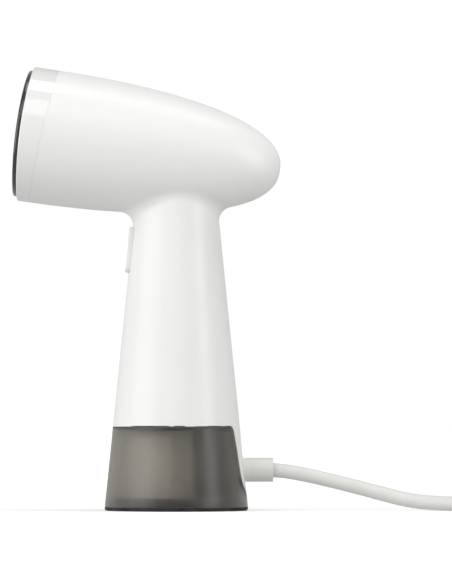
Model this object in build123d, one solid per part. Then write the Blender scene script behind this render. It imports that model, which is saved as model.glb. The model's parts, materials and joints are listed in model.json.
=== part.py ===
"""A hand-held garment steamer, in millimetres.

It stands on its water tank. +Z is up, -X is the front, where the steam plate faces, and +X is the back, where
the cord leaves. The origin is the middle of the face that it stands on, on the axis of the conical handle.
"""
from build123d import *
from math import atan, cos, pi, radians, sin, tan
import os

# ---------------------------------------------------------------- driving dimensions
# Handle: a cone about the Z axis, wide at the foot.
FOOT_R = 38.85           # outer radius at z = 0
TAPER = 0.1007           # radius lost for each millimetre of height
WALL = 2.4               # housing wall
NECK_TOP = 176.0         # the cone ends here, inside the head
NECK_BLEND = 7.5         # fillet between handle and head
SEAM_GAP = 0.1           # parting gap between the two housing halves

# Head: a bullet of superelliptic outline about an axis that dips towards the back.
FACE_X, FACE_Z = -80.9, 203.6    # middle of the front rim
HEAD_DIP = 8.2           # degrees
HEAD_R = 36.5
HEAD_L = 138.3
HEAD_POWER = 2.35        # 2 would be an ellipse
HEAD_POINTS = 9

# Bezel: the gloss ring round the steam plate.
BEZEL_IN_R = 34.7
BEZEL_GAP = 0.05         # step between bezel and housing
BEZEL_ROUND = 0.7
LIP_R, LIP_FRONT, LIP_BACK = 29.5, 1.9, 3.9

# Steam plate and the steam chamber behind it. Depths are behind the rim, along the head's axis.
PLATE_R, PLATE_PROUD, PLATE_ROUND = 34.4, 2.35, 1.4
STEAM_HOLE_R, STEAM_DISH_R, STEAM_DISH = 1.3, 2.7, 0.7
STEAM_RINGS = ((11.5, 6), (22.5, 12))   # radius of the ring, number of holes
GASKET_T = 1.6
CHAMBER_R, CHAMBER_BACK = 27.0, 34.0
LID_R, LID_T = 26.0, 3.0
HEATER_RING_R, HEATER_R, HEATER_DEPTH = 20.8, 3.2, 22.0
HEATER_GAP = 60.0        # degrees open at the bottom of the heater's ring
TERMINAL_END = 46.0
LID_SCREW_RING = 22.5
HOLDER_R, HOLDER_FRONT, HOLDER_BACK = 33.2, 16.0, 31.0

# Water tank under the handle.
TANK_TOP = 45.6
TANK_WALL = 2.2
DECK_T, DECK_EDGE = 2.4, 1.1   # the deck, and its flange over the shell's rim
FLOOR_LOW, FLOOR_HIGH = 4.6, 6.8
SKIRT_LIFT = 2.0         # the tank wall ends this far above the ground
SKIRT_ROUND = 0.3
PAD_T, PAD_ROUND = 1.95, 1.3
PAD_RIM_R, PAD_RIM_T = 35.9, 2.4
PART_GAP = 0.15          # on each side of the line between tank and housing
FILL_X, FILL_Y, FILL_R = -15.0, -4.0, 7.0
FILL_LIFT = 6.0
STRAW_X, STRAW_Y, STRAW_R = 1.5, 21.5, 3.0
SEAL_R = 5.5

# Spine: the tongue of the housing that runs down the back of the tank and takes the cord.
SPINE_TOP_HALF, SPINE_END_R, SPINE_END_Z = 15.4, 12.4, 22.0
SPINE_X = 10.4           # its inner face
SPINE_WALL = 1.8
SPINE_CORNER = 3.3

# Cord and its gland.
CORD_D = 7.8
CORD_R = CORD_D / 2
GLAND_R, GLAND_END_X, GLAND_Z = 6.55, 52.4, 22.1
GLAND_NECK_R, GLAND_FLANGE_R, GLAND_MOUTH_R = 5.2, 7.8, 4.9
CORD_START_X = 41.0
LEAD_X = 21.0

# Route of the cord's middle from the gland to the coil, as it hangs and then lies.
ROUTE = [
    (CORD_START_X, 0, GLAND_Z), (54.5, 0, GLAND_Z), (70, 0, 19.4), (88, -0.6, 15.2), (106, -3.0, 10.6),
    (126, -8.5, 5.2), (145, -17.5, 4.0), (166, -30, 4.2), (187.6, -40.6, 4.8),
]
COIL_X = 209.0
COIL_R = 42.0            # to the middle of its turns
COIL_WIDE, COIL_HIGH = 2, 3
COIL_LOW = 0.9           # it lies on its tie
COIL_TOP = COIL_LOW + COIL_HIGH * CORD_D
# The free end climbs onto the coil in a slightly tighter curve and ends in the plug. Its corners lie round a
# circle, given from the middle of the coil.
TAIL_X, TAIL_Y, TAIL_R = -1.5, 1.5, 36.0
TAIL_FIRST = 135.0       # degrees round the circle, where it is clear of the turns
TAIL_HEIGHTS = (24.0, 28.0, 29.2, 31.2, 33.2, 33.2)

# Plug, along +X from the end of the cord.
PLUG_RELIEF_L, PLUG_L, PLUG_W, PLUG_H = 18.0, 30.0, 25.0, 17.0
PLUG_DEPTH = 3.0         # how far the cord goes into it
BLADE_SPACING, BLADE_W, BLADE_T, BLADE_L = 12.7, 6.35, 1.5, 16.5

# Trigger, in its own frame: Y runs up the handle's front and Z points outwards from its surface.
TRIGGER_Z = 140.8
TRIGGER_W, TRIGGER_H, TRIGGER_PROUD = 13.0, 24.6, 1.9
TRIGGER_ROUND, TRIGGER_EDGE = 3.0, 0.6
TRIGGER_TRAVEL = 1.6
SLOT_GAP = 0.3
BOARD_DEPTH = -20.4
SWITCH_FRONT = -11.0

# Pump, on a vertical axis in the handle.
PUMP_X = 3.0
PUMP_LOW, PUMP_HIGH = 76.0, 106.0
CORE_R, BORE_R, PISTON_R = 6.0, 4.2, 3.9
BARB_R, BARB_L = 2.0, 8.0
COIL_LOW_Z, COIL_HIGH_Z, WINDING_R = 80.0, 100.0, 13.0
STRAP_T = 2.0
PISTON_STROKE = 2.0
HOSE_R, HOSE_BORE = 3.4, 2.2
RIB_T = 2.2
RIB_HEIGHTS = (72.8, 103.0)

# Screws that hold the housing halves together, along Y, at these (x, z).
HOUSING_SCREWS = ((-21.0, 66.0), (14.5, 148.0), (22.0, 194.0), (-22.0, 221.0))
BOSS_R, SCREW_R, SCREW_HEAD_R, SCREW_SEAT, SCREW_TIP = 4.4, 1.45, 2.8, 9.0, -9.0

FAR = 120.0
ON_FLOOR = (Align.CENTER, Align.CENTER, Align.MIN)


# ---------------------------------------------------------------- helpers
def cone_r(z):
    """Outer radius of the handle at height z."""
    return FOOT_R - TAPER * z


def cone(low, high, inset=0.0):
    """The handle's cone between two heights, with its surface moved in by inset."""
    return Pos(0, 0, low) * Cone(cone_r(low) - inset, cone_r(high) - inset, high - low, align=ON_FLOOR)


def rod(radius, low, high, x=0.0, y=0.0):
    """A cylinder along Z."""
    return Pos(x, y, low) * Cylinder(radius, high - low, align=ON_FLOOR)


def ring(outer, inner, low, high, x=0.0, y=0.0):
    """A tube along Z."""
    return rod(outer, low, high, x, y) - rod(inner, low, high, x, y)


def rod_x(radius, low, high, y=0.0, z=0.0):
    """A cylinder along X."""
    return Pos(low, y, z) * Rot(0, 90, 0) * Cylinder(radius, high - low, align=ON_FLOOR)


def rod_y(radius, low, high, x=0.0, z=0.0):
    """A cylinder along Y."""
    return Pos(x, low, z) * Rot(-90, 0, 0) * Cylinder(radius, high - low, align=ON_FLOOR)


def block(x, y, z):
    """A box from three (low, high) pairs."""
    size = [high - low for low, high in (x, y, z)]
    return Pos(*[(low + high) / 2 for low, high in (x, y, z)]) * Box(*size)


def around(radius, count, first=0.0):
    """The places of count points spread round a circle, as (x, y)."""
    turns = [radians(first + 360.0 * i / count) for i in range(count)]
    return [(radius * cos(a), radius * sin(a)) for a in turns]


def spun(points):
    """The closed outline through (radius, z) points, revolved about Z."""
    outline = Polyline(*[(r, 0, z) for r, z in points], close=True)
    return revolve(make_face(outline), Axis.Z)


def tube_along(points, radii, outer, inner=0.0):
    """A hose, wire or cord of round section along straight runs joined by tangent arcs."""
    path = FilletPolyline(*points, radius=radii)
    start = Plane(path @ 0, z_dir=path % 0)
    body = sweep(start * Circle(outer), path=path)
    return body - sweep(start * Circle(inner), path=path) if inner else body


def coil_spring(radius, wire, low, high, turns):
    """A helical compression spring about Z between two heights, measured over the wire."""
    height = high - low - 2 * wire
    helix = Helix(pitch=height / turns, height=height, radius=radius)
    start = Plane(helix @ 0, z_dir=helix % 0)
    return Pos(0, 0, low + wire) * sweep(start * Circle(wire), path=helix)


def rounded_plate(width, height, corner, low, high):
    """A plate with rounded corners about Z."""
    return Pos(0, 0, low) * extrude(RectangleRounded(width, height, corner), high - low)


# ---------------------------------------------------------------- frames
HEAD = Plane(
    origin=(FACE_X, 0, FACE_Z),
    x_dir=(0, 1, 0),
    z_dir=(cos(radians(HEAD_DIP)), 0, -sin(radians(HEAD_DIP))),
)
SLOPE = atan(TAPER)
TRIGGER = Plane(
    origin=(-cone_r(TRIGGER_Z), 0, TRIGGER_Z),
    x_dir=(0, -1, 0),
    z_dir=(-cos(SLOPE), 0, sin(SLOPE)),
)


def head_point(depth, up=0.0, side=0.0):
    """A point given in the head's frame, in the object's frame."""
    return HEAD.from_local_coords(Vector(side, up, depth))


# ---------------------------------------------------------------- outer form
def bullet(inset=0.0, front=-8.0):
    """The head's solid of revolution in its own frame, with its surface moved in by inset."""
    radius, length = HEAD_R - inset, HEAD_L - inset
    angles = [pi / 2 * i / HEAD_POINTS for i in range(HEAD_POINTS)]
    power = 2 / HEAD_POWER
    points = [(radius * cos(a) ** power, 0, length * sin(a) ** power) for a in angles] + [(0, 0, length)]
    outline = Spline(*points, tangents=[(0, 0, 1), (-1, 0, 0)])
    sides = Polyline((0, 0, length), (0, 0, front), (radius, 0, front), (radius, 0, 0))
    return revolve(make_face([outline, sides]), Axis.Z)


def rim_depth(up):
    """Depth of the head's rim at a height above its axis. It bows forwards, most of all a little above the axis."""
    apex, depth, bow = 4.0, -2.4, 0.0014
    return depth + bow * (up - apex) ** 2


def seam_depth(up):
    """Depth of the joint between bezel and housing, which widens the bezel towards the top."""
    middle, widening = 9.6, 0.083
    return middle + widening * up


def from_cut(depth_of, shift=0.0, reach=60.0):
    """In the head's frame, all between a curved cut right across the head and a flat plane at a depth of reach."""
    half, steps = 45.0, 8
    ups = [half * (2 * i / steps - 1) for i in range(steps + 1)]
    points = [(-half, up, depth_of(up) + shift) for up in ups]
    edge = Spline(*points)
    sides = Polyline(points[-1], (-half, half, reach), (-half, -half, reach), points[0])
    return extrude(make_face([edge, sides]), 2 * half, dir=(1, 0, 0))


def spine(grow, inner_x):
    """The prism of the spine's outline, grown all round, from its inner face out past the handle.

    Above the tank it widens to the whole handle, with a rounded corner on each side.
    """
    line = TANK_TOP - grow
    top = line + 30.0
    half, end = SPINE_TOP_HALF + grow, SPINE_END_R + grow
    side = Polyline((-half, line), (-end, SPINE_END_Z), (end, SPINE_END_Z), (half, line), close=True)
    outline = make_face(side) + Pos(0, SPINE_END_Z) * Circle(end)
    outline += Pos(0, (line + top) / 2) * Rectangle(4 * FOOT_R, top - line)
    corners = [v for v in outline.vertices() if abs(abs(v.X) - half) < 0.01 and abs(v.Y - line) < 0.01]
    outline = fillet(corners, SPINE_CORNER)
    across = Plane(origin=(inner_x, 0, 0), x_dir=(0, 1, 0), z_dir=(1, 0, 0))
    return extrude(across * outline, 2 * FOOT_R)


def body_form():
    """Head and handle as one solid with a blend between them."""
    joined = HEAD * bullet() + cone(0, NECK_TOP)
    boxes = [(e, e.bounding_box()) for e in joined.edges()]
    meeting = [e for e, b in boxes if b.min.Z > 150 and b.size.Y > 20 and abs(b.center().X) < 15]
    return fillet(meeting, NECK_BLEND)


# ---------------------------------------------------------------- housing
def trigger_slot():
    """The opening for the trigger, through the handle's wall."""
    wide, high = TRIGGER_W + 2 * SLOT_GAP, TRIGGER_H + 2 * SLOT_GAP
    return TRIGGER * rounded_plate(wide, high, TRIGGER_ROUND + SLOT_GAP, -6, 6)


def ribs():
    """Two shelves across the handle that hold the pump by its rubber sleeves."""
    shelves = []
    for low in RIB_HEIGHTS:
        shelf = cone(low, low + RIB_T, WALL - 0.5) - rod(9.1, low, low + RIB_T, PUMP_X)
        shelf -= block((PUMP_X + 9, FAR), (-11, 11), (low - 1, low + RIB_T + 1))
        shelves.append(shelf - block((-FAR, -14), (-FAR, FAR), (low - 1, low + RIB_T + 1)))
    return shelves


def bosses(form, side):
    """The screw bosses of one half, reaching from the seam to the wall."""
    low, high = (0, FAR) if side > 0 else (-FAR, 0)
    return [rod_y(BOSS_R, low, high, x, z) & form for x, z in HOUSING_SCREWS]


def housing_shell(form):
    """Both halves of the housing as one hollow shell."""
    tank_line = TANK_TOP + PART_GAP
    keep = block((-FAR, FAR), (-FAR, FAR), (tank_line, 2 * FAR)) + spine(-PART_GAP, SPINE_X)
    shell = (form & keep) - HEAD * from_cut(seam_depth, BEZEL_GAP, -60.0)
    shell -= HEAD * bullet(WALL) + cone(TANK_TOP, NECK_TOP, WALL)
    shell -= spine(-PART_GAP - SPINE_WALL, SPINE_X + SPINE_WALL) & cone(0, TANK_TOP + 10, WALL)
    shell -= trigger_slot()
    return shell - rod_x(GLAND_NECK_R, LEAD_X, FAR, z=GLAND_Z)


def housing_half(shell, form, side):
    """The half on one side of the seam, with its ribs and screw bosses."""
    low, high = (SEAM_GAP / 2, FAR) if side > 0 else (-FAR, -SEAM_GAP / 2)
    half = shell
    for extra in ribs() + bosses(form, side):
        half += extra
    half &= block((-FAR, FAR), (low, high), (-1, 2 * FAR))
    for x, z in HOUSING_SCREWS:
        if side > 0:
            half -= rod_y(SCREW_R + 0.15, 0, FAR, x, z)
            half -= rod_y(SCREW_HEAD_R + 0.2, SCREW_SEAT, FAR, x, z)
        else:
            half -= rod_y(SCREW_R + 0.02, SCREW_TIP - 1, 0, x, z)
    return half


def housing_screws():
    """Four pan-head screws, driven from the right-hand half."""
    screws = []
    for x, z in HOUSING_SCREWS:
        head = rod_y(SCREW_HEAD_R, SCREW_SEAT + 0.01, SCREW_SEAT + 2.0, x, z)
        head -= rod_y(1.2, SCREW_SEAT + 0.9, SCREW_SEAT + 2.0, x, z)
        screws.append(head + rod_y(SCREW_R, SCREW_TIP, SCREW_SEAT + 0.5, x, z))
    return Compound(children=screws)


def handle_base():
    """The plate that closes the handle over the tank, with a dome over the fill plug and two detents."""
    low, high = TANK_TOP + 2 * PART_GAP, TANK_TOP + 3.3
    plate = cone(low, high, WALL + 0.15)
    plate -= spine(-PART_GAP - SPINE_WALL - 0.2, SPINE_X + SPINE_WALL + 0.2)
    plate -= block((SPINE_X - 0.2, FAR), (-SPINE_TOP_HALF, SPINE_TOP_HALF), (low - 1, low + 0.1))
    dome_top = high + FILL_LIFT + 2.0
    dome = rod(FILL_R + 5.0, low, dome_top + 1.6, FILL_X, FILL_Y)
    plate += dome
    plate -= rod(FILL_R + 3.4, low - 1, dome_top, FILL_X, FILL_Y)
    plate -= rod(STRAW_R + 0.1, low - 1, high + 10, STRAW_X, STRAW_Y)
    for y in (-26.0, 26.0):
        tongue = block((-12.0, -4.0), (y - 1.0, y + 1.0), (TANK_TOP - 6.0, high))
        plate += tongue
    return plate


# ---------------------------------------------------------------- head
def front_edges(body, depth):
    """The edges of a body that lie wholly in front of a depth."""
    return [e for e in body.edges() if e.bounding_box().max.Z < depth]


def front_bezel():
    """The gloss ring round the steam plate, with an inner lip that the plate is clamped against."""
    body = (bullet() & from_cut(rim_depth)) - from_cut(seam_depth)
    body = fillet(front_edges(body, -0.05), BEZEL_ROUND)
    body -= rod(BEZEL_IN_R, -20, LIP_FRONT)
    body -= rod(LIP_R, -20, 40)
    return HEAD * (body - rod(BEZEL_IN_R - 1.2, LIP_BACK, 40))


def steam_plate():
    """The bowed hot plate with dished steam holes."""
    body = rod(PLATE_R, -20, 0) & from_cut(rim_depth, -PLATE_PROUD)
    body = fillet(front_edges(body, -2.0), PLATE_ROUND)
    for radius, count in STEAM_RINGS:
        for x, y in around(radius, count, 90):
            face = rim_depth(y) - PLATE_PROUD
            body -= rod(STEAM_HOLE_R, -20, 1, x, y)
            dish = Cone(STEAM_DISH_R * 2 - STEAM_HOLE_R, STEAM_HOLE_R, STEAM_DISH * 2, align=ON_FLOOR)
            body -= Pos(x, y, face - STEAM_DISH) * dish
    return HEAD * body


def plate_gasket():
    """Silicone ring between the plate and the bezel's lip."""
    return HEAD * ring(PLATE_R - 0.3, LIP_R + 0.2, 0.1, 0.1 + GASKET_T)


def heater_solid(extra=0.0):
    """The sheathed heater: most of a ring, with its two cold ends leading back."""
    start = -90 + HEATER_GAP / 2
    turn = 360.0 - HEATER_GAP
    loop = revolve(Plane.XZ * Pos(HEATER_RING_R, HEATER_DEPTH) * Circle(HEATER_R + extra), Axis.Z, turn)
    loop = Rot(0, 0, start) * loop
    for angle in (start, start + turn):
        x, y = HEATER_RING_R * cos(radians(angle)), HEATER_RING_R * sin(radians(angle))
        loop += Pos(x, y, HEATER_DEPTH) * Sphere(HEATER_R + extra)
        loop += rod(HEATER_R + extra, HEATER_DEPTH, TERMINAL_END - 6, x, y)
        loop += rod(1.6, TERMINAL_END - 7, TERMINAL_END, x, y)
    return loop


def steam_chamber():
    """The cast block that boils the water, open at the front to feed the plate's holes."""
    body = rod(CHAMBER_R, LIP_FRONT, CHAMBER_BACK)
    body -= rod(23.0, 0, 7.0)
    body -= rod(14.5, 11.0, CHAMBER_BACK)
    for x, y in around(10.5, 6, 30):
        body -= rod(2.0, 6, 12, x, y)
    for x, y in around(LID_SCREW_RING, 4):
        body -= rod(1.95, 27.0, CHAMBER_BACK, x, y)
    return HEAD * (body - heater_solid())


def chamber_lid():
    """The plate that closes the back of the chamber."""
    body = rod(LID_R, CHAMBER_BACK, CHAMBER_BACK + LID_T) - rod(2.5, 30, 50)
    for x, y in around(LID_SCREW_RING, 4):
        body -= rod(2.2, 30, 50, x, y)
    return HEAD * (body - heater_solid(0.2))


def chamber_screws():
    """The lid's four screws."""
    back = CHAMBER_BACK + LID_T
    screws = []
    for x, y in around(LID_SCREW_RING, 4):
        screw = rod(1.9, 27.2, back + 1, x, y) + rod(3.4, back, back + 2.4, x, y)
        screws.append(HEAD * (screw - rod(1.3, back + 1.1, back + 2.4, x, y)))
    return Compound(children=screws)


def water_inlet():
    """Brass spigot in the middle of the lid."""
    back = CHAMBER_BACK + LID_T
    body = rod(2.45, CHAMBER_BACK - 2, back + 13) + rod(4.2, back, back + 3)
    body -= rod(1.0, CHAMBER_BACK - 3, back + 14)
    body = body - ring(4, 2.0, back + 4, back + 14)
    return HEAD * body


def thermostat():
    """Round bimetal thermostat on the lid, with two blade terminals."""
    back = CHAMBER_BACK + LID_T
    body = rod(6.0, back, back + 5, 0, 11.5) + rod(4.6, back + 5, back + 8, 0, 11.5)
    for x in (-2.6, 2.6):
        body += block((x - 0.4, x + 0.4), (9.0, 14.0), (back + 8, back + 13))
    return HEAD * body


def thermal_fuse():
    """Thermal fuse clamped across the lid."""
    back = CHAMBER_BACK + LID_T
    barrel = Pos(-8, -9.5, back + 2.1) * Rot(0, 90, 0) * Cylinder(2.0, 16, align=ON_FLOOR)
    return HEAD * (barrel + block((-2, 2), (-12.2, -6.8), (back, back + 0.5)))


def chamber_holder():
    """Heat-resistant ring that carries the chamber in the housing."""
    low, high = HOLDER_FRONT, HOLDER_BACK
    web, skin = 2.5, 1.8
    return HEAD * spun([
        (CHAMBER_R + 0.2, low), (HOLDER_R, low), (HOLDER_R, high),
        (HOLDER_R - skin, high), (HOLDER_R - skin, low + web), (CHAMBER_R + 0.2, low + web),
    ])


# ---------------------------------------------------------------- trigger and electrics
def trigger():
    """The button, with a flange that keeps it behind the wall and a stem for its spring."""
    face = rounded_plate(TRIGGER_W, TRIGGER_H, TRIGGER_ROUND, -5.5, TRIGGER_PROUD)
    face = fillet(face.edges().group_by(Axis.Z)[-1], TRIGGER_EDGE)
    flange = rounded_plate(TRIGGER_W + 3.2, TRIGGER_H + 3.0, TRIGGER_ROUND + 1, -5.7, -4.4)
    return TRIGGER * (face + flange + rod(1.5, -7.2, -5.0))


def trigger_spring():
    """Return spring between the trigger's flange and the switch."""
    return TRIGGER * coil_spring(2.9, 0.3, SWITCH_FRONT + 0.05, -5.75, 4.0)


def switch_body():
    """The switch behind the trigger, mounted on the board."""
    body = block((-4.2, 4.2), (-9, 9), (BOARD_DEPTH + 1.6, SWITCH_FRONT))
    return TRIGGER * (body - rod(1.8, SWITCH_FRONT - 4.5, SWITCH_FRONT))


def switch_plunger():
    """The switch's plunger, which the trigger's stem pushes."""
    return TRIGGER * rod(1.45, SWITCH_FRONT - 2.5, -7.5)


def control_board():
    """The circuit board that stands behind the trigger."""
    board = block((-12, 12), (-26, 15), (BOARD_DEPTH, BOARD_DEPTH + 1.6))
    for x in (-9, 9):
        board -= rod(1.6, BOARD_DEPTH, BOARD_DEPTH + 2, x, -23.5)
    return TRIGGER * board


def board_parts():
    """A relay, a capacitor and a terminal block on the board's front."""
    front = BOARD_DEPTH + 1.6
    relay = block((-9, 2), (-21, -11), (front, front + 8.5))
    capacitor = rod(3.2, front, front + 7.5, 7.5, -14.5)
    terminals = block((-10, 10), (10.2, 14.6), (front, front + 5))
    return Compound(children=[TRIGGER * relay, TRIGGER * capacitor, TRIGGER * terminals])


def supply_wires():
    """The two cores from the inner lead to the board."""
    wires = []
    for side in (-1, 1):
        end = TRIGGER.from_local_coords(Vector(-side * 7.0, -22.0, BOARD_DEPTH - 1.3))
        route = [(LEAD_X, side * 2.2, 58.2), (22.0, side * 3.5, 110.5), tuple(end)]
        wires.append(tube_along(route, [8.0], 1.1))
    return Compound(children=wires)


def heater_wires():
    """The two wires from the board to the heater's terminals."""
    wires = []
    angle = radians(-90 + HEATER_GAP / 2)
    for side in (-1, 1):
        start = TRIGGER.from_local_coords(Vector(-side * 8.5, 8.0, BOARD_DEPTH - 2.0))
        x, y = side * HEATER_RING_R * cos(angle), HEATER_RING_R * sin(angle)
        end = head_point(TERMINAL_END + 0.8, y, x)
        route = [tuple(start), (-3.0, side * 9.5, 182.0), tuple(end)]
        wires.append(tube_along(route, [9.0], 1.1))
    return Compound(children=wires)


# ---------------------------------------------------------------- water path
def pump_core():
    """The pump's tube with a barb at each end."""
    body = rod(CORE_R, PUMP_LOW, PUMP_HIGH, PUMP_X)
    body += rod(BARB_R, PUMP_LOW - BARB_L, PUMP_HIGH + BARB_L, PUMP_X)
    body -= rod(BORE_R, PUMP_LOW + 1.6, PUMP_HIGH - 1.6, PUMP_X)
    return body - rod(0.9, PUMP_LOW - 20, PUMP_HIGH + 20, PUMP_X)


def pump_winding():
    """Copper winding round the core."""
    return ring(WINDING_R, CORE_R + 0.1, COIL_LOW_Z, COIL_HIGH_Z, PUMP_X)


def pump_strap():
    """Steel strap that closes the magnetic path round the winding."""
    low, high = COIL_LOW_Z - 0.2, COIL_HIGH_Z + 0.2
    reach = WINDING_R + 0.3
    body = block((PUMP_X - 9, PUMP_X + reach + STRAP_T), (-8, 8), (low - STRAP_T, low))
    body += block((PUMP_X - 9, PUMP_X + reach + STRAP_T), (-8, 8), (high, high + STRAP_T))
    body += block((PUMP_X + reach, PUMP_X + reach + STRAP_T), (-8, 8), (low - STRAP_T, high + STRAP_T))
    return body - rod(CORE_R + 0.1, 0, FAR, PUMP_X)


def pump_sleeves():
    """Rubber sleeves that hold the core in the housing's ribs."""
    lower = ring(9.0, BARB_R + 0.1, RIB_HEIGHTS[0] - 0.5, PUMP_LOW - 0.1, PUMP_X)
    upper = ring(9.0, CORE_R + 0.1, RIB_HEIGHTS[1] - 0.6, RIB_HEIGHTS[1] + RIB_T + 0.5, PUMP_X)
    return Compound(children=[lower, upper])


def pump_piston():
    """The steel piston that the winding pulls."""
    return rod(PISTON_R, PUMP_LOW + 2.2, PUMP_LOW + 18.0, PUMP_X) - rod(1.2, PUMP_LOW, PUMP_LOW + 20, PUMP_X)


def pump_spring():
    """The piston's return spring."""
    return Pos(PUMP_X, 0, 0) * coil_spring(3.2, 0.4, PUMP_LOW + 18.1, PUMP_HIGH - 1.7, 4.0)


def suction_tube():
    """The tube that reaches down into the tank."""
    low = ring(STRAW_R, 1.8, 12.0, TANK_TOP + 3.6, STRAW_X, STRAW_Y)
    return low + ring(2.1, 1.2, TANK_TOP, TANK_TOP + 9.5, STRAW_X, STRAW_Y)


def straw_filter():
    """Sintered filter on the end of the tube."""
    return rod(STRAW_R, 8.2, 12.0, STRAW_X, STRAW_Y)


def lower_hose():
    """Hose from the suction tube to the pump."""
    route = [(STRAW_X, STRAW_Y, TANK_TOP + 5), (STRAW_X, STRAW_Y, 62), (PUMP_X, 0, 62), (PUMP_X, 0, PUMP_LOW - 4.2)]
    return tube_along(route, [6.0, 6.0], HOSE_R, HOSE_BORE)


def upper_hose():
    """Hose from the pump to the chamber's spigot."""
    start = head_point(CHAMBER_BACK + LID_T + 4)
    along = (PUMP_X - start.X) * tan(radians(HEAD_DIP))
    route = [(PUMP_X, 0, PUMP_HIGH + 1), (PUMP_X, 0, start.Z - along), tuple(start)]
    return tube_along(route, [15.0], HOSE_R, HOSE_BORE)


# ---------------------------------------------------------------- tank
def tank_shell():
    """The smoked outer wall, with the pocket that the spine slides into."""
    top = TANK_TOP - PART_GAP
    outer = cone(SKIRT_LIFT, top - DECK_EDGE - 0.02)
    outer = fillet(outer.edges().group_by(Axis.Z)[0], SKIRT_ROUND)
    notch = spine(PART_GAP, SPINE_X - PART_GAP)
    pocket = spine(PART_GAP + TANK_WALL, SPINE_X - PART_GAP - TANK_WALL)
    below_line = block((-FAR, FAR), (-FAR, FAR), (-1, TANK_TOP - SPINE_CORNER - 1))
    hollow = cone(-1, TANK_TOP + 1, TANK_WALL) - (pocket & below_line) - (pocket & spine_column(TANK_WALL))
    return outer - hollow - notch


def spine_column(wall):
    """A straight column round the spine, up to the tank's top, for the pocket's walls there."""
    half = SPINE_TOP_HALF + PART_GAP + wall
    return block((SPINE_X - PART_GAP - wall, FAR), (-half, half), (0, TANK_TOP + 1))


def tank_deck():
    """The dark plate that closes the tank's top, with a flange that covers the shell's rim."""
    top = TANK_TOP - PART_GAP
    body = cone(top - DECK_T, top, TANK_WALL + 0.02) - spine_column(TANK_WALL + 0.02)
    body += cone(top - DECK_EDGE, top) - spine(PART_GAP, SPINE_X - PART_GAP)
    body -= rod(FILL_R + 0.3, 0, 60, FILL_X, FILL_Y)
    body -= rod(SEAL_R + 0.02, 0, 60, STRAW_X, STRAW_Y)
    for y in (-26.0, 26.0):
        body -= block((-12.5, -3.5), (y - 1.5, y + 1.5), (0, 60))
    return body


def tank_floor():
    """The inner floor, sealed into the shell above its skirt."""
    body = cone(FLOOR_LOW, FLOOR_HIGH, TANK_WALL + 0.02)
    return body


def base_pad():
    """Soft foot that the steamer stands on, with two rims that press up inside the tank's skirt."""
    body = cone(0, PAD_T)
    body = fillet(body.edges().group_by(Axis.Z)[0], PAD_ROUND)
    for outer in (PAD_RIM_R, PAD_RIM_R / 2):
        body += ring(outer, outer - PAD_RIM_T, PAD_T, FLOOR_LOW - 0.02)
    return body


def port_seal():
    """Seal round the suction tube in the deck."""
    top = TANK_TOP - PART_GAP
    return ring(SEAL_R, STRAW_R + 0.3, top - DECK_T, top, STRAW_X, STRAW_Y)


def fill_plug():
    """Stopper of the fill hole, with a pull rim."""
    top = TANK_TOP - PART_GAP
    body = rod(FILL_R, top - DECK_T - 2.5, top + 0.1, FILL_X, FILL_Y)
    body += rod(FILL_R + 2.2, top + 0.05, top + 1.5, FILL_X, FILL_Y)
    return body - rod(FILL_R - 2.0, top - DECK_T - 3, top - 0.8, FILL_X, FILL_Y)


# ---------------------------------------------------------------- cord
def cord_gland():
    """Plain round boot that the cord leaves through."""
    boot = rod_x(GLAND_R, 20, GLAND_END_X, z=GLAND_Z)
    boot = fillet(boot.edges().group_by(Axis.X)[-1], 0.6)
    boot -= cone(0, TANK_TOP)
    body = boot + rod_x(GLAND_NECK_R - 0.05, 34.0, 40, z=GLAND_Z)
    inside = cone(0, TANK_TOP, WALL + 0.1) & rod_x(GLAND_FLANGE_R, LEAD_X + 11.5, FAR, z=GLAND_Z)
    body += inside
    body -= rod_x(CORD_R, 20, FAR, z=GLAND_Z)
    return body - rod_x(GLAND_MOUTH_R, 47.0, FAR, z=GLAND_Z)


def inner_lead():
    """The cord's sheath inside the spine, up into the handle."""
    route = [(CORD_START_X, 0, GLAND_Z), (LEAD_X, 0, GLAND_Z), (LEAD_X, 0, 58.0)]
    return tube_along(route, [11.0], CORD_R)


def cord_clamp():
    """Clamp that takes the pull off the lead."""
    body = block((LEAD_X - 5.6, LEAD_X + 6.2), (-10, 10), (39, 44)) - rod(CORD_R, 30, 50, LEAD_X)
    for y in (-7.2, 7.2):
        body -= rod_x(1.2, LEAD_X - 6, LEAD_X + 7, y, 41.5)
    return body


def corner_radii(points):
    """The largest arcs that fit a route's corners: 0.45 of the shorter run over the tangent of half the turn."""
    spots = [Vector(*p) for p in points]
    radii = []
    for before, here, after in zip(spots, spots[1:], spots[2:]):
        turn = (here - before).get_angle(after - here)
        shorter = min((here - before).length, (after - here).length)
        radii.append(0.45 * shorter / tan(radians(turn / 2)))
    return radii


def coil_solid():
    """The outer shape of the coiled cord."""
    half = COIL_WIDE * CORD_R
    body = ring(COIL_R + half, COIL_R - half, COIL_LOW, COIL_TOP, COIL_X)
    return fillet(body.edges(), CORD_R * 0.6)


def cord_tube(points):
    """A plain tube along a route of the cord, ending where it meets the coil."""
    radii = corner_radii(points)
    tube = tube_along(points, radii, CORD_R)
    path = FilletPolyline(*points, radius=radii)
    print("cord radii", [round(r) for r in radii], "length", round(path.length, 1),
          "volume over section x length", round(tube.volume / (pi * CORD_R ** 2 * path.length), 4))
    return tube


def tail_route():
    """Route of the cord's free end, from the coil's outer turn to the plug."""
    step = (270.0 - TAIL_FIRST) / 4
    corner_r = TAIL_R / cos(radians(step / 2))
    middle_x, middle_y = COIL_X + TAIL_X, TAIL_Y
    angles = [radians(TAIL_FIRST + step * (i - 0.5)) for i in range(5)]
    flat = [(middle_x + corner_r * cos(a), middle_y + corner_r * sin(a)) for a in angles]
    flat.append((middle_x + TAIL_R * tan(radians(step / 2)), middle_y - TAIL_R))
    return [(x, y, z) for (x, y), z in zip(flat, TAIL_HEIGHTS)]


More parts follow.
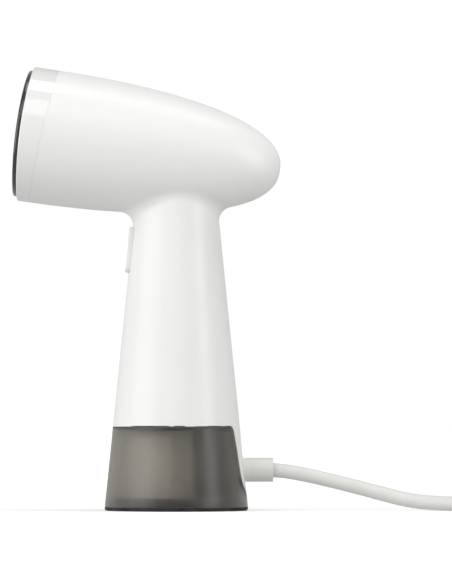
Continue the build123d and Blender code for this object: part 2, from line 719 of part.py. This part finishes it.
def plug_place():
    """Where the plug starts, at the free end of the cord."""
    x, y, z = tail_route()[-1]
    return Pos(x - PLUG_DEPTH, y, z)


def mains_plug():
    """Moulded plug with a tapered strain relief."""
    relief = Rot(0, 90, 0) * Cone(CORD_R + 1.2, CORD_R + 3.2, PLUG_RELIEF_L, align=ON_FLOOR)
    grip = Pos(PLUG_RELIEF_L + PLUG_L / 2, 0, 0) * Box(PLUG_L, PLUG_W, PLUG_H)
    grip = fillet(grip.edges().filter_by(Axis.X), 5.0)
    grip = fillet(grip.faces().sort_by(Axis.X)[0].edges(), 3.5)
    body = grip + Pos(0.5, 0, 0) * relief
    body -= rod_x(CORD_R, -1, PLUG_DEPTH)
    for y in (-BLADE_SPACING / 2, BLADE_SPACING / 2):
        body -= blade(y, 8.0)
    return plug_place() * body


def blade(y, root):
    """One flat contact blade, from inside the plug to its tip."""
    face = PLUG_RELIEF_L + PLUG_L
    across, up = BLADE_T / 2, BLADE_W / 2
    return block((face - root, face + BLADE_L), (y - across, y + across), (-up, up))


def plug_blades():
    """The two contact blades."""
    blades = []
    for y in (-BLADE_SPACING / 2, BLADE_SPACING / 2):
        one = blade(y, 8.0)
        tip = one.faces().sort_by(Axis.X)[-1].edges().filter_by(Axis.Y)
        blades.append(plug_place() * fillet(tip, 2.0))
    return Compound(children=blades)


# ---------------------------------------------------------------- all sub-parts
def sub_parts():
    """Every node's name and shape."""
    form = body_form()
    shell = housing_shell(form)
    coil = coil_solid()
    return {
        "housing_left": housing_half(shell, form, -1),
        "housing_right": housing_half(shell, form, 1),
        "housing_screws": housing_screws(),
        "handle_base": handle_base(),
        "front_bezel": front_bezel(),
        "steam_plate": steam_plate(),
        "plate_gasket": plate_gasket(),
        "steam_chamber": steam_chamber(),
        "heating_element": HEAD * heater_solid(),
        "chamber_lid": chamber_lid(),
        "chamber_screws": chamber_screws(),
        "chamber_holder": chamber_holder(),
        "water_inlet": water_inlet(),
        "thermostat": thermostat(),
        "thermal_fuse": thermal_fuse(),
        "trigger": trigger(),
        "trigger_spring": trigger_spring(),
        "switch_body": switch_body(),
        "switch_plunger": switch_plunger(),
        "control_board": control_board(),
        "board_parts": board_parts(),
        "supply_wires": supply_wires(),
        "heater_wires": heater_wires(),
        "pump_core": pump_core(),
        "pump_winding": pump_winding(),
        "pump_strap": pump_strap(),
        "pump_sleeves": pump_sleeves(),
        "pump_piston": pump_piston(),
        "pump_spring": pump_spring(),
        "suction_tube": suction_tube(),
        "straw_filter": straw_filter(),
        "lower_hose": lower_hose(),
        "upper_hose": upper_hose(),
        "tank_shell": tank_shell(),
        "tank_deck": tank_deck(),
        "tank_floor": tank_floor(),
        "base_pad": base_pad(),
        "port_seal": port_seal(),
        "fill_plug": fill_plug(),
        "cord_gland": cord_gland(),
        "inner_lead": inner_lead(),
        "cord_clamp": cord_clamp(),
        "cord_run": cord_tube(ROUTE) - coil,
        "cord_coil": coil,
        "cord_tail": cord_tube(tail_route()) - coil,
        "mains_plug": mains_plug(),
        "plug_blades": plug_blades(),
    }


os.makedirs("parts", exist_ok=True)
for name, shape in sub_parts().items():
    export_step(shape, f"parts/{name}.step")
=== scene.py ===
"""The looks of the garment steamer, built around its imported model. Lengths are in metres."""
import json
import math

import bpy
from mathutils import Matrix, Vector


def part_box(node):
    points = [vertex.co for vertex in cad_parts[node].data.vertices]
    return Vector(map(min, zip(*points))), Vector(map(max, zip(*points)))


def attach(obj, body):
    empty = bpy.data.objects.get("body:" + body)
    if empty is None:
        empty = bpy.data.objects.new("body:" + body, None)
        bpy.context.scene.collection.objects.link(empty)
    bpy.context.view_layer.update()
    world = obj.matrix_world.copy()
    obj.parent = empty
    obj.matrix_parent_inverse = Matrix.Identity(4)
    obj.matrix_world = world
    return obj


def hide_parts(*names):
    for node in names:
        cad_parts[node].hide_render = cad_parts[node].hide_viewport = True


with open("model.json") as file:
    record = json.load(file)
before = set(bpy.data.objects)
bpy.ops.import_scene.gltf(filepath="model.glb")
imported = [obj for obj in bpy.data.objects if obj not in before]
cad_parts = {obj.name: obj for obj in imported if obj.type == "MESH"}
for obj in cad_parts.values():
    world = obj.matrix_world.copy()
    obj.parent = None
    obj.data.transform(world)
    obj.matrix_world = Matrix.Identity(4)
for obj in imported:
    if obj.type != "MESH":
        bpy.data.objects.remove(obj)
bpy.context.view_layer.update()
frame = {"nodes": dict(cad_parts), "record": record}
nodes = frame["nodes"]
MM = 0.001


# ---------------------------------------------------------------- camera
CAMERA_DISTANCE = 2.6
LOOK_X, LOOK_UP = 26.8 * MM, 0.4925    # the view's middle, its height as a share of the steamer's
VIEW_UP = 1.3163                       # height of the view, as a share of the steamer's
SENSOR = 36.0                          # in millimetres, as Blender takes it


def add_camera():
    """A long lens at the height of the tank's top, looking square at the steamer's left side."""
    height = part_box("front_bezel")[1].z
    middle = Vector((LOOK_X, 0, LOOK_UP * height))
    data = bpy.data.cameras.new("camera")
    data.sensor_width = SENSOR
    data.lens = SENSOR * CAMERA_DISTANCE / (VIEW_UP * height)
    data.clip_end = 60
    camera = bpy.data.objects.new("camera", data)
    camera.location = (middle.x, -CAMERA_DISTANCE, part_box("tank_deck")[1].z)
    camera.rotation_euler = (middle - camera.location).to_track_quat("-Z", "Y").to_euler()
    bpy.context.collection.objects.link(camera)
    bpy.context.scene.camera = camera


# ---------------------------------------------------------------- material nodes
class Material:
    """A Principled material with helpers for its nodes. Patterns are in object coordinates, so in metres."""

    def __init__(self, name, color, roughness, metallic=0.0, **sockets):
        self.made = bpy.data.materials.new(name)
        self.made.use_nodes = True
        self.tree = self.made.node_tree
        self.shader = self.tree.nodes["Principled BSDF"]
        self.color = color
        self.roughness = roughness
        self.put("Base Color", (*color, 1))
        self.put("Roughness", roughness)
        self.put("Metallic", metallic)
        for label, value in sockets.items():
            self.put(label.replace("_", " "), value)
        self.normal = None

    def put(self, label, value):
        self.shader.inputs[label].default_value = value

    def add(self, kind, **settings):
        node = self.tree.nodes.new(kind)
        for label, value in settings.items():
            setattr(node, label, value)
        return node

    def link(self, start, end):
        self.tree.links.new(start, end)

    def place(self, stretch=(1, 1, 1)):
        """Object coordinates, stretched."""
        mapping = self.add("ShaderNodeMapping")
        mapping.inputs["Scale"].default_value = stretch
        self.link(self.add("ShaderNodeTexCoord").outputs["Object"], mapping.inputs["Vector"])
        return mapping.outputs["Vector"]

    def noise(self, size, detail=2.0, stretch=(1, 1, 1)):
        """Noise whose features are about size metres across."""
        node = self.add("ShaderNodeTexNoise")
        node.inputs["Scale"].default_value = 1 / size
        node.inputs["Detail"].default_value = detail
        self.link(self.place(stretch), node.inputs["Vector"])
        return node.outputs["Fac"]

    def spread(self, source, low, high, start=0.3, end=0.7):
        """The source's start to end, spread over low to high."""
        node = self.add("ShaderNodeMapRange")
        for label, value in (("From Min", start), ("From Max", end), ("To Min", low), ("To Max", high)):
            node.inputs[label].default_value = value
        self.link(source, node.inputs["Value"])
        return node.outputs["Result"]

    def vary_roughness(self, size, amount, stretch=(1, 1, 1)):
        """Roughness that drifts by amount to each side of its own."""
        low, high = self.roughness - amount, self.roughness + amount
        drift = self.spread(self.noise(size, stretch=stretch), low, high)
        self.link(drift, self.shader.inputs["Roughness"])
        return self

    def vary_color(self, size, other, stretch=(1, 1, 1), detail=2.0):
        """Colour that drifts towards another one."""
        mix = self.add("ShaderNodeMix", data_type="RGBA")
        mix.inputs["A"].default_value = (*self.color, 1)
        mix.inputs["B"].default_value = (*other, 1)
        self.link(self.spread(self.noise(size, detail, stretch), 0, 1), mix.inputs["Factor"])
        self.link(mix.outputs["Result"], self.shader.inputs["Base Color"])
        return self

    def bump(self, source, height):
        """Relief of that height in metres, on top of any relief so far."""
        node = self.add("ShaderNodeBump")
        node.inputs["Distance"].default_value = height
        self.link(source, node.inputs["Height"])
        if self.normal is not None:
            self.link(self.normal, node.inputs["Normal"])
        self.normal = node.outputs["Normal"]
        self.link(self.normal, self.shader.inputs["Normal"])
        return self

    def grain(self, size, height, stretch=(1, 1, 1), detail=2.0):
        """Relief of noise."""
        return self.bump(self.noise(size, detail, stretch), height)

    def waves(self, size, height, axis="Z"):
        """Relief of parallel ridges, size metres apart."""
        node = self.add("ShaderNodeTexWave", bands_direction=axis)
        node.inputs["Scale"].default_value = math.pi / (10 * size)
        self.link(self.place(), node.inputs["Vector"])
        return self.bump(node.outputs["Fac"], height)


def housing_white():
    """Satin moulded plastic with a fine spark-eroded texture."""
    made = Material("housing_white", (0.86, 0.86, 0.845), 0.36, Specular_IOR_Level=0.5)
    made.vary_roughness(0.02, 0.03).vary_color(0.05, (0.845, 0.845, 0.83))
    return made.grain(0.0006, 0.000006, detail=3).made


def bezel_white():
    """Polished plastic, with the slight unevenness of a moulded gloss surface."""
    made = Material("bezel_white", (0.85, 0.85, 0.84), 0.07, Coat_Weight=1.0, Coat_Roughness=0.04)
    made.vary_roughness(0.015, 0.015).vary_color(0.04, (0.84, 0.84, 0.83))
    return made.grain(0.012, 0.00001, detail=1).made


def trigger_white():
    """Satin plastic of the button, a little finer than the housing."""
    made = Material("trigger_white", (0.85, 0.85, 0.835), 0.3)
    made.vary_roughness(0.008, 0.03).vary_color(0.02, (0.835, 0.835, 0.82))
    return made.grain(0.0005, 0.000005).made


def plate_black():
    """Ceramic coating sprayed on cast aluminium."""
    made = Material("plate_black", (0.012, 0.012, 0.013), 0.2, Coat_Weight=0.6, Coat_Roughness=0.12)
    made.vary_roughness(0.004, 0.05).vary_color(0.0006, (0.03, 0.03, 0.032), detail=4)
    return made.grain(0.0004, 0.000008).made


def smoked_tank():
    """Smoked clear plastic, faintly streaked down its draw direction."""
    made = Material("smoked_tank", (0.50, 0.478, 0.435), 0.38, Transmission_Weight=1.0, IOR=1.49)
    made.vary_roughness(0.01, 0.03, stretch=(1, 1, 0.25))
    made.vary_color(0.02, (0.47, 0.448, 0.405), stretch=(1, 1, 0.2))
    return made.grain(0.01, 0.00001, stretch=(1, 1, 0.3), detail=1).made


def cord_grey():
    """Soft cable sheath with a fine extruded grain and a slight bloom."""
    made = Material("cord_grey", (0.76, 0.755, 0.73), 0.46, Sheen_Weight=0.08, Sheen_Roughness=0.4)
    made.vary_roughness(0.006, 0.05).vary_color(0.012, (0.735, 0.73, 0.70))
    return made.grain(0.0009, 0.00001, detail=3).made


def plug_white():
    """Moulded plug, of the cord's compound but a little glossier."""
    made = Material("plug_white", (0.78, 0.775, 0.75), 0.32)
    made.vary_roughness(0.006, 0.04).vary_color(0.015, (0.76, 0.755, 0.73))
    return made.grain(0.0007, 0.000012, detail=3).made


def steel():
    """Bright steel with fine drawing marks."""
    made = Material("steel", (0.62, 0.62, 0.62), 0.26, metallic=1.0)
    made.vary_roughness(0.0015, 0.06).vary_color(0.003, (0.55, 0.55, 0.56))
    return made.grain(0.0003, 0.000004, stretch=(1, 1, 0.15)).made


def brass_parts():
    """Turned brass, slightly tarnished."""
    made = Material("brass_parts", (0.78, 0.6, 0.32), 0.24, metallic=1.0)
    made.vary_roughness(0.002, 0.05).vary_color(0.003, (0.62, 0.45, 0.22))
    return made.grain(0.0003, 0.000004).made


def cast_aluminium():
    """Die-cast metal with a grainy skin."""
    made = Material("cast_aluminium", (0.66, 0.67, 0.68), 0.48, metallic=1.0)
    made.vary_roughness(0.003, 0.08).vary_color(0.004, (0.56, 0.57, 0.58), detail=4)
    return made.grain(0.0007, 0.00004, detail=4).made


def copper_winding():
    """Enamelled wire wound in close turns."""
    made = Material("copper_winding", (0.6, 0.26, 0.12), 0.3, metallic=0.8, Coat_Weight=0.5)
    made.vary_roughness(0.002, 0.05).vary_color(0.003, (0.45, 0.18, 0.08))
    return made.waves(0.00035, 0.0001).made


def board_green():
    """Laminate with solder resist over its tracks."""
    made = Material("board_green", (0.03, 0.2, 0.09), 0.3, Coat_Weight=0.3)
    made.vary_roughness(0.004, 0.05).vary_color(0.0015, (0.05, 0.28, 0.13), stretch=(1, 1, 0.2))
    return made.grain(0.0005, 0.00001).made


def inner_plastic():
    """Plain moulded plastic inside the housing."""
    made = Material("inner_plastic", (0.72, 0.72, 0.7), 0.5)
    made.vary_roughness(0.01, 0.05).vary_color(0.02, (0.68, 0.68, 0.66))
    return made.grain(0.0008, 0.00002, detail=3).made


def dark_plastic():
    """Glass-filled black plastic."""
    made = Material("dark_plastic", (0.05, 0.05, 0.05), 0.5)
    made.vary_roughness(0.006, 0.06).vary_color(0.001, (0.07, 0.07, 0.068), detail=4)
    return made.grain(0.0006, 0.00002, detail=3).made


def black_rubber():
    """Moulded rubber, dull and faintly dusty."""
    made = Material("black_rubber", (0.012, 0.012, 0.012), 0.75, Specular_IOR_Level=0.25)
    made.vary_roughness(0.006, 0.06).vary_color(0.008, (0.045, 0.045, 0.043), detail=4)
    return made.grain(0.0008, 0.00003, detail=3).made


def silicone_red():
    """Iron-red silicone rubber."""
    made = Material("silicone_red", (0.42, 0.11, 0.07), 0.5, Subsurface_Weight=0.1)
    made.vary_roughness(0.006, 0.05).vary_color(0.006, (0.36, 0.09, 0.055))
    return made.grain(0.0007, 0.00002).made


def hose_silicone():
    """Milky silicone hose."""
    made = Material("hose_silicone", (0.8, 0.8, 0.76), 0.36, Transmission_Weight=0.35, IOR=1.41)
    made.vary_roughness(0.006, 0.05).vary_color(0.01, (0.75, 0.75, 0.7))
    return made.grain(0.001, 0.00001, stretch=(1, 1, 0.2)).made


def wire_insulation():
    """Blue wire insulation."""
    made = Material("wire_insulation", (0.1, 0.2, 0.5), 0.38)
    made.vary_roughness(0.004, 0.04).vary_color(0.006, (0.08, 0.16, 0.42))
    return made.grain(0.0006, 0.00001).made


def tie_black():
    """Woven hook-and-loop strap."""
    made = Material("tie_black", (0.05, 0.05, 0.052), 0.8, Sheen_Weight=0.5, Sheen_Roughness=0.5)
    made.vary_roughness(0.002, 0.06).vary_color(0.0008, (0.09, 0.09, 0.092), detail=4)
    return made.waves(0.0007, 0.0002).waves(0.0009, 0.0002, "Y").made


FINISHES = {make.__name__: make() for make in (
    housing_white, bezel_white, trigger_white, plate_black, silicone_red, cast_aluminium, steel, brass_parts,
    dark_plastic, inner_plastic, board_green, copper_winding, wire_insulation, black_rubber, hose_silicone,
    smoked_tank, cord_grey, plug_white,
)}


def finish_nodes():
    """Gives every CAD node the finish of its slot in the record."""
    for part in frame["record"]["subparts"]:
        data = nodes[part["node"]].data
        data.materials.clear()
        data.materials.append(FINISHES[part["material_slot"]])


# ---------------------------------------------------------------- cord
CORD_D = 7.8 * MM
ROUTE_MM = [
    (41, 0, 22.1), (54.5, 0, 22.1), (70, 0, 19.4), (88, -0.6, 15.2), (106, -3.0, 10.6),
    (126, -8.5, 5.2), (145, -17.5, 4.0), (166, -30, 4.2), (187.6, -40.6, 4.8),
]
COIL_X = 209.0 * MM
OUTER_R, INNER_R = 45.9 * MM, 38.1 * MM
COIL_LOW = 4.8 * MM          # middle of the lowest turns
COIL_FIRST = -117.8          # degrees, where the cord joins the coil
COIL_TURNS = 6.07
TURN_POINTS = 16
SHIFT = 0.30                 # of a turn, over which the cord moves to the next ring
SHIFT_EARLY = 0.03           # of a turn, by which the first shift is done before its turn is
LEAD = 0.09                  # of a turn, by which each shift comes before the one under it
TAIL_MM = [(218.4, -34.5, 33.2)]    # into the plug
TAIL_IN, TAIL_UP = 3.6 * MM, 5.0 * MM
TAIL_START, TAIL_END = 5.60, 6.02   # turns over which it leaves the coil for the plug's height


def eased(turned, start, end):
    """From 0 to 1 between two numbers of turns."""
    share = min(1.0, max(0.0, (turned - start) / (end - start)))
    return share * share * (3 - 2 * share)


def shifted(turned, number):
    """How far the shift to a ring is done after so many turns."""
    start = number - SHIFT - SHIFT_EARLY - LEAD * (number - 1)
    return eased(turned, start, start + SHIFT)


def coil_points():
    """In and out over two rings, layer on layer, then up over the top one and round to the plug.

    The spline passes inside its points, so they lie further out than the cord does.
    """
    outside = 1 / math.cos(math.pi / TURN_POINTS)
    points = []
    for i in range(1, math.ceil(COIL_TURNS * TURN_POINTS)):
        turned = i / TURN_POINTS
        inwards = shifted(turned, 1) - shifted(turned, 3) + shifted(turned, 5)
        upwards = shifted(turned, 2) + shifted(turned, 4) + shifted(turned, 6)
        leaving = eased(turned, TAIL_START, TAIL_END)
        radius = (OUTER_R + (INNER_R - OUTER_R) * inwards) * outside - TAIL_IN * leaving
        angle = math.radians(COIL_FIRST + 360 * turned)
        x, y = COIL_X + radius * math.cos(angle), radius * math.sin(angle)
        points.append(Vector((x, y, COIL_LOW + CORD_D * upwards + TAIL_UP * leaving)))
    return points


def nurbs_curve(name, points, radius):
    """A round cord along one smooth spline that has these control points."""
    data = bpy.data.curves.new(name, "CURVE")
    data.dimensions = "3D"
    data.resolution_u = 8
    data.bevel_depth = radius
    data.bevel_resolution = 6
    data.use_fill_caps = True
    spline = data.splines.new("NURBS")
    spline.points.add(len(points) - 1)
    for point, place in zip(spline.points, points):
        point.co = (*place, 1)
    spline.order_u = 3
    spline.use_endpoint_u = True
    made = bpy.data.objects.new(name, data)
    bpy.context.collection.objects.link(made)
    return made


# ---------------------------------------------------------------- mesh helpers
def mesh_object(name, vertices, faces):
    """A smooth-shaded object in the scene."""
    mesh = bpy.data.meshes.new(name)
    mesh.from_pydata(vertices, [], faces)
    mesh.validate()
    mesh.update()
    made = bpy.data.objects.new(name, mesh)
    bpy.context.collection.objects.link(made)
    for face in mesh.polygons:
        face.use_smooth = True
    return made


def lofted(name, rings):
    """A closed mesh skinned over rings of the same number of points, with a flat face at each end."""
    count = len(rings[0])
    vertices = [tuple(point) for ring in rings for point in ring]
    faces = []
    for i in range(len(rings) - 1):
        near, far = i * count, (i + 1) * count
        for j in range(count):
            k = (j + 1) % count
            faces.append((near + j, near + k, far + k, far + j))
    faces.append(tuple(reversed(range(count))))
    faces.append(tuple(range(len(vertices) - count, len(vertices))))
    return mesh_object(name, vertices, faces)


def subdivided(piece, levels):
    """The piece, with its surface subdivided so many times."""
    modifier = piece.modifiers.new("smooth", "SUBSURF")
    modifier.levels = levels
    modifier.render_levels = levels
    return piece


OVAL_POINTS = 32


def oval(x, half_width, half_height, power):
    """Points round a section across X: a superellipse, from round at power 2 to nearly square above it."""
    points = []
    for i in range(OVAL_POINTS):
        angle = 2 * math.pi * (i + 0.5) / OVAL_POINTS
        c, s = math.cos(angle), math.sin(angle)
        y = math.copysign(abs(c) ** (2 / power), c) * half_width
        z = math.copysign(abs(s) ** (2 / power), s) * half_height
        points.append(Vector((x, y, z)))
    return points


# The plug, in millimetres. Its relief has ribs, each a little larger than the one before.
RELIEF_RIBS, RELIEF_L = 6, 15.0
RELIEF_R, RELIEF_GROWTH = 5.0, 0.32
# One rib and the groove behind it: shares of the pitch, and what each adds to the radius.
RIB = [(0.0, 0.0), (0.1, 0.25), (0.58, 0.3), (0.66, -0.75), (0.92, -0.7)]
# Sections of its grip: place along the plug, half its width, half its height, and how square it is.
GRIP = [
    (15.2, 6.9, 6.4, 2.0), (17.0, 7.9, 7.0, 2.2), (19.2, 9.6, 7.7, 2.6), (21.5, 10.9, 8.1, 3.0),
    (24.0, 11.5, 8.2, 3.3), (26.0, 11.5, 8.0, 3.4), (27.0, 10.8, 7.6, 3.4), (28.2, 11.5, 7.9, 3.4),
    (29.4, 10.8, 7.6, 3.4), (30.6, 11.5, 7.9, 3.4), (31.8, 10.8, 7.6, 3.4), (33.0, 11.6, 8.0, 3.4),
    (36.0, 12.2, 8.3, 3.6), (40.0, 12.5, 8.5, 3.8), (46.6, 12.5, 8.5, 4.0), (47.5, 12.3, 8.3, 4.0),
    (47.95, 11.7, 7.7, 4.0),
]


def plug_body(start):
    """The moulded plug: a ribbed, tapered relief that widens into a waisted grip with finger ridges."""
    rings = []
    pitch = RELIEF_L / RELIEF_RIBS
    for i in range(RELIEF_RIBS):
        for share, added in RIB:
            radius = RELIEF_R + RELIEF_GROWTH * i + added
            rings.append(oval(pitch * (i + share), radius, radius, 2))
    rings += [oval(*section) for section in GRIP]
    rings = [[start + point * MM for point in ring] for ring in rings]
    return subdivided(lofted("plug_moulding", rings), 1)


TIE_ANGLE = 172              # degrees round the coil
TIE_LOW, TIE_HIGH = 0.9 * MM, 33.4 * MM
TIE_HALF = 8.7 * MM          # half its width round the cord, outwards
TIE_WIDTH, TIE_THICK = 13 * MM, 0.8 * MM
TIE_SQUARE = 0.42            # 1 would be an ellipse
TIE_POINTS, TIE_LAP = 64, 9  # points round it, and points that it goes on for over its own start
LAP_RISE = 5                 # points over which the lap climbs onto the strap
LAP_LIFT = 1.15 * TIE_THICK  # so that it stays clear of the strap
TIE_START = -0.35            # radians from outwards


def strap_section():
    """The strap's path round the cord, as distances outwards and up, with its end lapped on the outside."""
    section = []
    for i in range(TIE_POINTS + TIE_LAP):
        turn = 2 * math.pi * i / TIE_POINTS + TIE_START
        lap = LAP_LIFT * min(1.0, max(0.0, (i - TIE_POINTS + LAP_RISE - 1) / LAP_RISE))
        c, s = math.cos(turn), math.sin(turn)
        across = math.copysign(abs(c) ** TIE_SQUARE, c) * (TIE_HALF + lap)
        section.append((across, math.copysign(abs(s) ** TIE_SQUARE, s) * (TIE_HIGH - TIE_LOW) / 2))
    return section


def strap_loop():
    """A hook-and-loop strap round the whole coil."""
    angle = math.radians(TIE_ANGLE)
    out = Vector((math.cos(angle), math.sin(angle), 0))
    up = Vector((0, 0, 1))
    side = Vector((-out.y, out.x, 0)) * TIE_WIDTH / 2
    centre = Vector((COIL_X, 0, 0)) + out * (OUTER_R + INNER_R) / 2 + up * (TIE_LOW + TIE_HIGH) / 2
    section = strap_section()
    rings = []
    for i, (across, height) in enumerate(section):
        before, after = section[max(0, i - 1)], section[min(len(section) - 1, i + 1)]
        tangent = Vector((after[0] - before[0], after[1] - before[1])).normalized()
        middle = centre + out * across + up * height
        skin = (out * tangent.y - up * tangent.x) * TIE_THICK
        rings.append([middle - side, middle + side, middle + side + skin, middle - side + skin])
    return lofted("cord_tie", rings)


def add_cord():
    """The lead with its coil, the plug's moulding and the tie, which all ride on the housing."""
    route = [Vector(p) * MM for p in ROUTE_MM] + coil_points() + [Vector(p) * MM for p in TAIL_MM]
    lead = nurbs_curve("mains_lead", route, CORD_D / 2)
    lead.data.materials.append(FINISHES["cord_grey"])
    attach(lead, "housing")
    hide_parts("cord_run", "cord_coil", "cord_tail")

    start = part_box("mains_plug")[0]
    plug = plug_body(Vector((start.x, route[-1].y, route[-1].z)))
    plug.data.materials.append(FINISHES["plug_white"])
    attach(plug, "housing")
    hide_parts("mains_plug")

    tie = strap_loop()
    tie.data.materials.append(tie_black())
    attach(tie, "housing")


# ---------------------------------------------------------------- studio
FLOOR_HALF = 30.0
FLOOR_NEAR, FLOOR_FAR = 0.29, 0.80     # glow under the steamer, and where the lights no longer reach
GLOW_START, GLOW_END = 0.35, 1.6       # distances over which it changes
DOME_R, DOME_BANDS, DOME_SIDES = 28.0, 18, 48
WORLD_LEVELS = [(0.0, 0.58), (0.45, 0.62), (0.55, 0.66), (0.8, 0.52), (1.0, 0.34)]    # from below to overhead
HEAD = (-0.03, 0, 0.19)                # what the light boxes face


def emission(name, color, strength):
    """A material that only glows."""
    made = bpy.data.materials.new(name)
    made.use_nodes = True
    tree = made.node_tree
    tree.nodes.clear()
    light = tree.nodes.new("ShaderNodeEmission")
    light.inputs["Color"].default_value = (*color, 1)
    light.inputs["Strength"].default_value = strength
    output = tree.nodes.new("ShaderNodeOutputMaterial")
    tree.links.new(light.outputs["Emission"], output.inputs["Surface"])
    return made


def panel(name, centre, target, size, radiance):
    """A soft light box of the given width and height that faces the target."""
    data = bpy.data.lights.new(name, "AREA")
    data.shape = "RECTANGLE"
    data.size, data.size_y = size
    data.energy = radiance * math.pi * size[0] * size[1]
    light = bpy.data.objects.new(name, data)
    light.location = centre
    light.rotation_euler = (Vector(target) - Vector(centre)).to_track_quat("-Z", "Y").to_euler()
    light.visible_camera = False
    bpy.context.collection.objects.link(light)


def add_floor():
    """A large pale floor, which the camera sees but which throws no light back: the world does that."""
    half = FLOOR_HALF
    corners = [(-half, -half, 0), (-half, half, 0), (half, half, 0), (half, -half, 0)]
    floor = mesh_object("floor", corners, [(0, 1, 2, 3)])
    material = Material("floor_white", (0.86, 0.86, 0.86), 0.9, Specular_IOR_Level=0.0)
    material.put("Emission Color", (1, 1, 1, 1))
    reach = material.add("ShaderNodeVectorMath", operation="LENGTH")
    material.link(material.place(), reach.inputs[0])
    glow = material.spread(reach.outputs["Value"], FLOOR_NEAR, FLOOR_FAR, GLOW_START, GLOW_END)
    material.link(glow, material.shader.inputs["Emission Strength"])
    floor.data.materials.append(material.vary_color(0.8, (0.85, 0.85, 0.85)).made)
    floor.visible_diffuse = False
    floor.visible_glossy = False


def add_backdrop():
    """A far white dome behind everything, seen but not lighting."""
    rings = []
    for i in range(1, DOME_BANDS):
        tilt = math.pi * i / DOME_BANDS
        across, up = DOME_R * math.sin(tilt), DOME_R * math.cos(tilt)
        turns = [2 * math.pi * k / DOME_SIDES for k in range(DOME_SIDES)]
        rings.append([Vector((across * math.cos(turn), across * math.sin(turn), up)) for turn in turns])
    dome = lofted("backdrop", rings)
    dome.data.materials.append(emission("backdrop_white", (1, 1, 1), 1.02))
    for kind in ("diffuse", "glossy", "volume_scatter", "shadow"):
        setattr(dome, "visible_" + kind, False)


def add_world():
    """Soft light from all round, dimmer overhead and behind the steamer's back."""
    world = bpy.data.worlds.new("studio")
    world.use_nodes = True
    bpy.context.scene.world = world
    tree = world.node_tree
    background = tree.nodes["Background"]
    place = tree.nodes.new("ShaderNodeTexCoord")
    split = tree.nodes.new("ShaderNodeSeparateXYZ")
    ramp = tree.nodes.new("ShaderNodeValToRGB")
    half = tree.nodes.new("ShaderNodeMapRange")
    half.inputs["From Min"].default_value = -1
    tree.links.new(place.outputs["Generated"], split.inputs["Vector"])
    tree.links.new(split.outputs["Z"], half.inputs["Value"])
    tree.links.new(half.outputs["Result"], ramp.inputs["Fac"])
    tree.links.new(ramp.outputs["Color"], background.inputs["Color"])
    while len(ramp.color_ramp.elements) < len(WORLD_LEVELS):
        ramp.color_ramp.elements.new(0.5)
    for element, (position, level) in zip(ramp.color_ramp.elements, WORLD_LEVELS):
        element.position = position
        element.color = (level, level, level * 0.99, 1)
    side = tree.nodes.new("ShaderNodeMapRange")
    for label, value in (("From Min", -0.1), ("From Max", 1.0), ("To Min", 1.0), ("To Max", 0.72)):
        side.inputs[label].default_value = value
    tree.links.new(split.outputs["X"], side.inputs["Value"])
    tree.links.new(side.outputs["Result"], background.inputs["Strength"])


def add_studio():
    """World, floor, backdrop and light boxes: overhead, over the camera, and to its left and right."""
    add_world()
    add_floor()
    add_backdrop()
    panel("top_box", (0.3, 0.0, 1.45), (0.02, 0, 0.19), (0.56, 0.9), 2.6)
    panel("front_box", (-0.1, -1.1, 1.3), HEAD, (2.2, 0.8), 1.15)
    panel("left_box", (-1.45, -0.75, 0.35), HEAD, (1.5, 1.6), 2.15)
    panel("right_box", (1.35, -0.75, 0.4), HEAD, (0.45, 1.4), 4.4)
    bpy.context.scene.view_settings.view_transform = "Standard"


add_camera()
finish_nodes()
add_cord()
add_studio()
